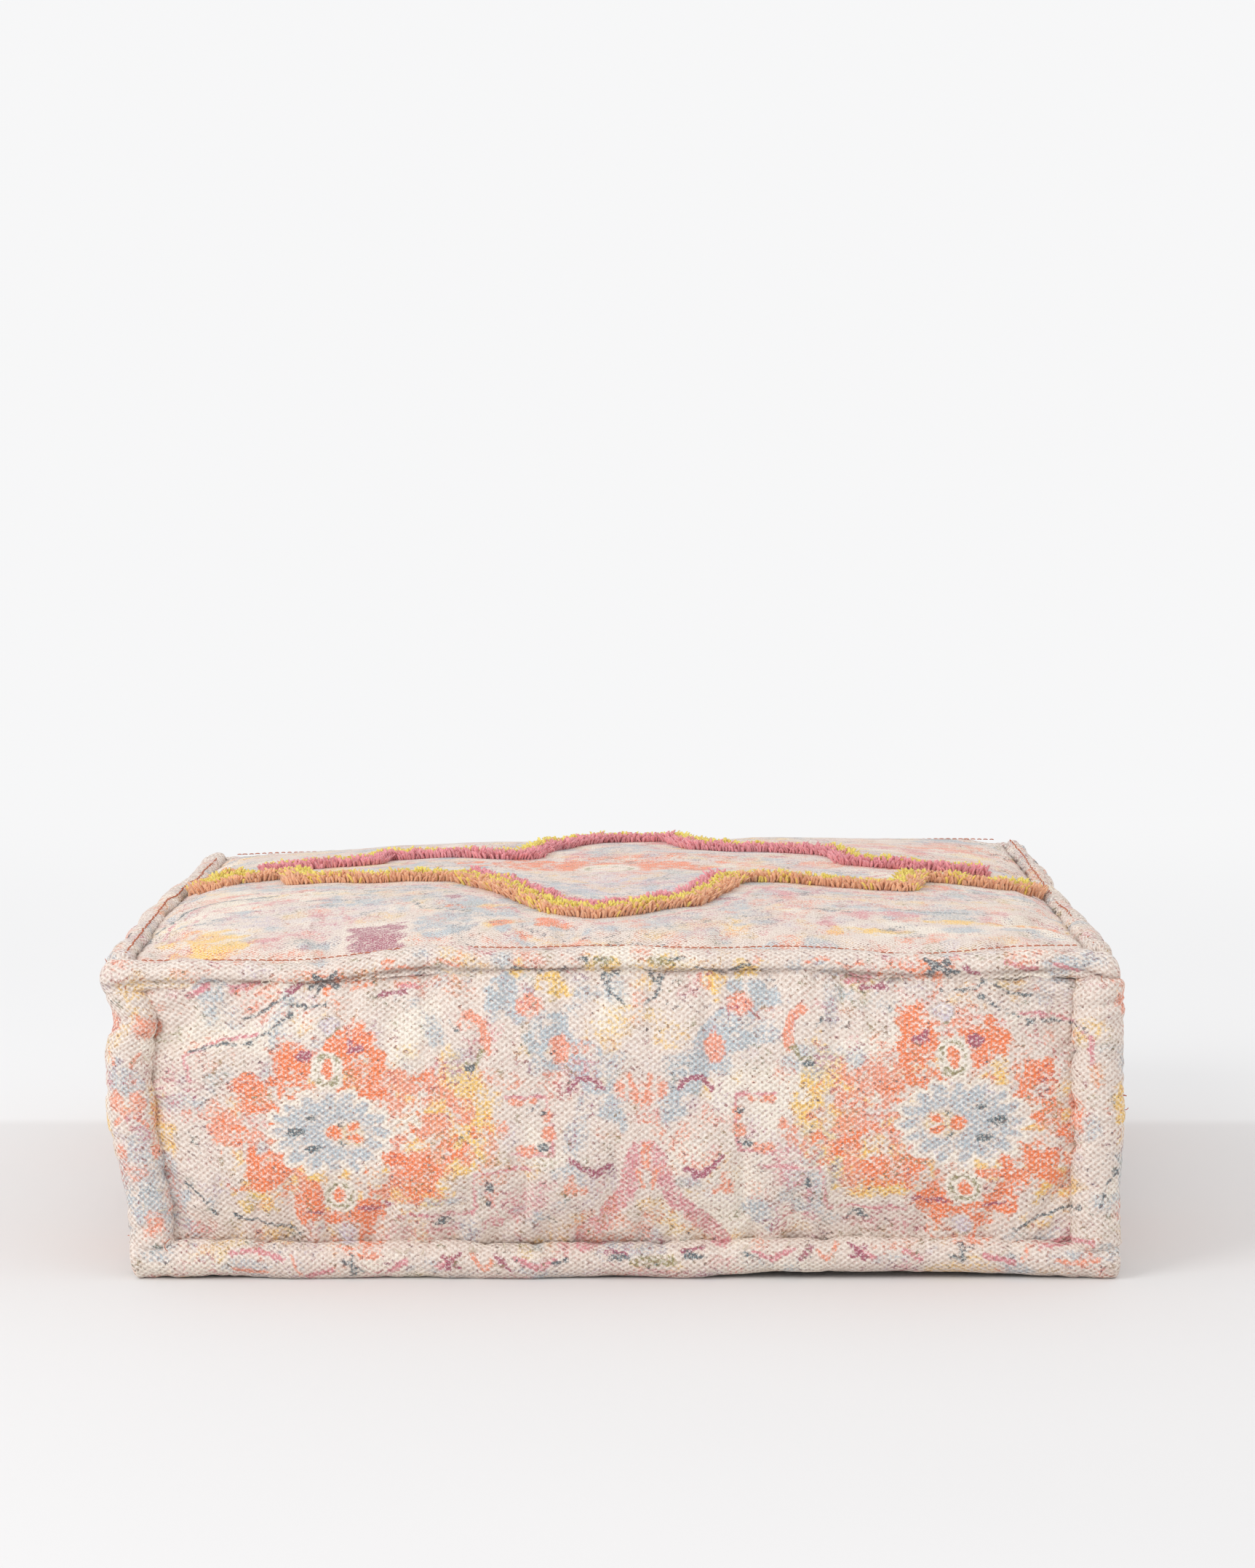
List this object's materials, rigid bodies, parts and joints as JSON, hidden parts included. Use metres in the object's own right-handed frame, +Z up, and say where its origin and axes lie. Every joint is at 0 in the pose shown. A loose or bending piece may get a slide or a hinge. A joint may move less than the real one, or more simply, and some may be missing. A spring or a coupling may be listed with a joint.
{
  "type": "floor cushion",
  "caption": "Square box floor cushion with stuffed rolled edges, a faded medallion print, tufted pile trim on top and a zip along the back.",
  "frame": {"origin": "middle of the footprint, on the floor", "axes": "+Z up, -Y towards the front panel, +X towards the right end; the zip is on the +Y side"},
  "size_m": [0.6296, 0.6216, 0.2266],
  "materials": {
    "boxing_cotton": "coarse basket-weave cotton, printed",
    "top_cotton": "plain-weave cotton, printed and faded",
    "base_canvas": "plain cotton canvas",
    "wadding": "loose polyester fibre",
    "liner_cotton": "plain lining cotton",
    "rose_yarn": "cut cotton pile",
    "yellow_yarn": "cut cotton pile",
    "orange_yarn": "cut cotton pile",
    "zip_tape": "woven polyester tape",
    "zip_coil": "nylon coil",
    "zip_metal": "nickel-plated"
  },
  "bodies": {
    "cover": {"back_left_corner_roll": "boxing_cotton", "back_left_corner_roll_wadding": "wadding", "back_panel": "boxing_cotton", "back_right_corner_roll": "boxing_cotton", "back_right_corner_roll_wadding": "wadding", "back_rose_pile": "rose_yarn", "back_yellow_pile": "yellow_yarn", "base_back_roll": "boxing_cotton", "base_back_roll_wadding": "wadding", "base_front_roll": "boxing_cotton", "base_front_roll_wadding": "wadding", "base_left_roll": "boxing_cotton", "base_left_roll_wadding": "wadding", "base_panel": "base_canvas", "base_right_roll": "boxing_cotton", "base_right_roll_wadding": "wadding", "fibre_filling": "wadding", "front_left_corner_roll": "boxing_cotton", "front_left_corner_roll_wadding": "wadding", "front_orange_pile": "orange_yarn", "front_panel": "boxing_cotton", "front_right_corner_roll": "boxing_cotton", "front_right_corner_roll_wadding": "wadding", "front_rose_pile": "rose_yarn", "front_yellow_pile": "yellow_yarn", "inner_bag": "liner_cotton", "left_panel": "boxing_cotton", "right_panel": "boxing_cotton", "top_back_roll": "boxing_cotton", "top_back_roll_wadding": "wadding", "top_front_roll": "boxing_cotton", "top_front_roll_wadding": "wadding", "top_left_roll": "boxing_cotton", "top_left_roll_wadding": "wadding", "top_panel": "top_cotton", "top_right_roll": "boxing_cotton", "top_right_roll_wadding": "wadding", "zip_bottom_stop": "zip_metal", "zip_coil_lower": "zip_coil", "zip_coil_upper": "zip_coil", "zip_tape_lower": "zip_tape", "zip_tape_upper": "zip_tape", "zip_top_stop_lower": "zip_metal", "zip_top_stop_upper": "zip_metal"},
    "slider": {"zip_slider": "zip_metal"},
    "pull": {"zip_pull": "zip_metal"}
  },
  "joints": [
    {"name": "zip_slide", "type": "slide", "parent": "cover", "child": "slider", "axis": [-1, 0, 0], "range_m": [0, 0.484]},
    {"name": "pull_swing", "type": "hinge", "parent": "slider", "child": "pull", "pos_m": [0.2401, 0.2936, 0.0303], "axis": [0, 0, -1], "range_deg": [0, 180]}
  ]
}
